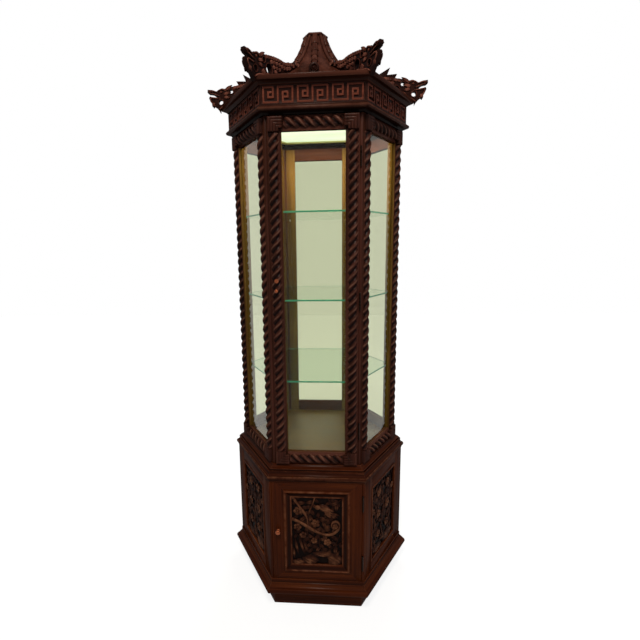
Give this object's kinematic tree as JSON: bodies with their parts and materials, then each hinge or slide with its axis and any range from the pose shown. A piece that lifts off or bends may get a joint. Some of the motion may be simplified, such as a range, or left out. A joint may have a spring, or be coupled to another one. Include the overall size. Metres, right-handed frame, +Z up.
{
  "type": "hexagonal glazed display cabinet",
  "caption": "Tall hexagonal curio cabinet: glazed case with glass shelves on a cupboard base, fretted frieze and pagoda roof with hip dragons.",
  "frame": {"origin": "on the floor, on the cabinet's upright axis", "axes": "+Z up, -Y towards the front with the doors, +X to the right as seen from the front"},
  "size_m": [0.864, 0.7562, 2.238],
  "materials": {
    "case_wood": "dark stained and lacquered",
    "cupboard_wood": "red-brown stained and lacquered",
    "carving_wood": "carved and lacquered",
    "sheet_wood": "clear lacquer",
    "window_glass": "polished",
    "shelf_glass": "polished, ground edges",
    "brass": "polished",
    "steel": "zinc plated",
    "opal": "opal",
    "white_metal": "white enamel",
    "black_plastic": "moulded"
  },
  "bodies": {
    "case": {"base_moulding": "cupboard_wood", "cable_gland": "black_plastic", "carved_panel_back": "cupboard_wood", "carved_panel_left_back": "cupboard_wood", "carved_panel_left_front": "cupboard_wood", "carved_panel_right_back": "cupboard_wood", "carved_panel_right_front": "cupboard_wood", "case_corner_posts": "case_wood", "case_floor": "sheet_wood", "case_side_frames": "case_wood", "catch_magnet": "black_plastic", "ceiling_ring": "sheet_wood", "cornice": "case_wood", "cupboard_corner_posts": "cupboard_wood", "cupboard_floor": "sheet_wood", "cupboard_side_frames": "cupboard_wood", "dragon_back_left": "carving_wood", "dragon_back_right": "carving_wood", "dragon_front_left": "carving_wood", "dragon_front_right": "carving_wood", "dragon_left": "carving_wood", "dragon_right": "carving_wood", "frieze_boards": "case_wood", "frieze_moulding": "case_wood", "glass_pane_back": "window_glass", "glass_pane_left_back": "window_glass", "glass_pane_left_front": "window_glass", "glass_pane_right_back": "window_glass", "glass_pane_right_front": "window_glass", "glass_shelf_lower": "shelf_glass", "glass_shelf_middle": "shelf_glass", "glass_shelf_upper": "shelf_glass", "hinge_pins": "brass", "hinge_post_leaves": "brass", "hip_ridges": "case_wood", "key_fret": "case_wood", "lamp_diffuser": "opal", "lamp_housing": "white_metal", "panel_beads": "cupboard_wood", "plinth": "cupboard_wood", "roof_slopes": "case_wood", "shelf_pins": "brass", "side_rope_mouldings": "case_wood", "spire_cap": "case_wood", "tile_ribs": "case_wood", "waist_moulding": "cupboard_wood"},
    "case_door": {"case_door_frame": "case_wood", "door_rope_moulding": "case_wood", "door_glass": "window_glass", "case_door_knob": "brass", "lock_barrel": "brass", "case_door_hinge_leaves": "brass"},
    "lock": {"lock_plug": "brass", "lock_cam": "steel"},
    "cupboard_door": {"cupboard_door_frame": "cupboard_wood", "cupboard_door_moulding": "cupboard_wood", "cupboard_door_panel": "cupboard_wood", "cupboard_door_knob": "brass", "cupboard_door_hinge_leaves": "brass", "catch_plate": "steel"}
  },
  "joints": [
    {"name": "case_door_hinge", "type": "hinge", "parent": "case", "child": "case_door", "pos_m": [0.16124, -0.29367, 1.247], "axis": [0, 0, 1], "range_deg": [0, 120]},
    {"name": "lock_turn", "type": "hinge", "parent": "case_door", "child": "lock", "pos_m": [-0.136, -0.29, 1.324], "axis": [0, 1, 0], "range_deg": [0, 90]},
    {"name": "cupboard_door_hinge", "type": "hinge", "parent": "case", "child": "cupboard_door", "pos_m": [0.17824, -0.32311, 0.3385], "axis": [0, 0, 1], "range_deg": [0, 120]}
  ]
}
